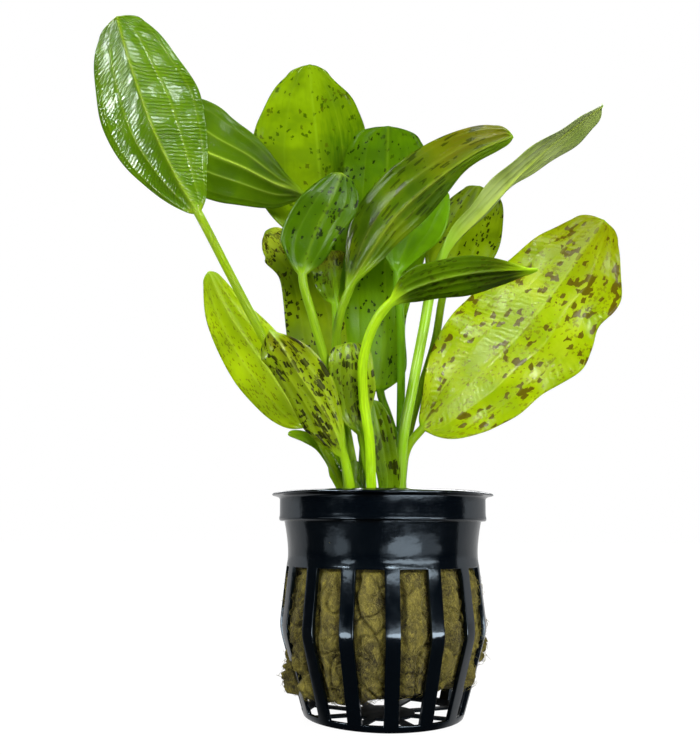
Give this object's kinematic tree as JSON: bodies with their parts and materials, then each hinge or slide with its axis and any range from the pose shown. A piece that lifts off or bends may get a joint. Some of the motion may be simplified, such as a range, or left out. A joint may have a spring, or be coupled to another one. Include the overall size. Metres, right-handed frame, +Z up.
{
  "type": "potted echinodorus plant",
  "caption": "Water plant with a rosette of broad stalked leaves, rooted in a wool plug inside a small round slotted net pot.",
  "frame": {"origin": "centre of the pot's flat underside, on the surface it stands on", "axes": "+Z up along the pot's axis, -Y towards the front that the picture shows, +X to the right seen from the front"},
  "size_m": [0.1366, 0.0655, 0.19],
  "materials": {
    "pot_plastic": "moulded blue-black plastic, softly glossy and wet",
    "rockwool": "matted mineral wool, damp, olive brown",
    "root_stock": null,
    "leaf_glossy_green": null,
    "leaf_deep_green": null,
    "leaf_light_green": null,
    "leaf_yellow_green": null,
    "leaf_olive_green": null,
    "leaf_grey_green": null
  },
  "bodies": {
    "root": {"net_pot": "pot_plastic", "rockwool_plug": "rockwool", "crown": "root_stock", "leaf_top_left": "leaf_glossy_green", "leaf_back_left": "leaf_deep_green", "leaf_back_top": "leaf_light_green", "leaf_small_centre": "leaf_glossy_green", "leaf_back_centre": "leaf_deep_green", "leaf_front_tall": "leaf_olive_green", "leaf_mid_right": "leaf_light_green", "leaf_far_right": "leaf_grey_green", "leaf_front_right": "leaf_deep_green", "leaf_back_right": "leaf_yellow_green", "leaf_low_right": "leaf_yellow_green", "leaf_low_left": "leaf_yellow_green", "leaf_front_left": "leaf_olive_green", "leaf_front_centre": "leaf_olive_green", "leaf_olive_left": "leaf_olive_green", "leaf_ragged_centre": "leaf_olive_green", "leaf_low_centre": "leaf_olive_green", "leaf_short_strap": "leaf_deep_green", "cut_stalk": "leaf_deep_green"}
  },
  "joints": []
}
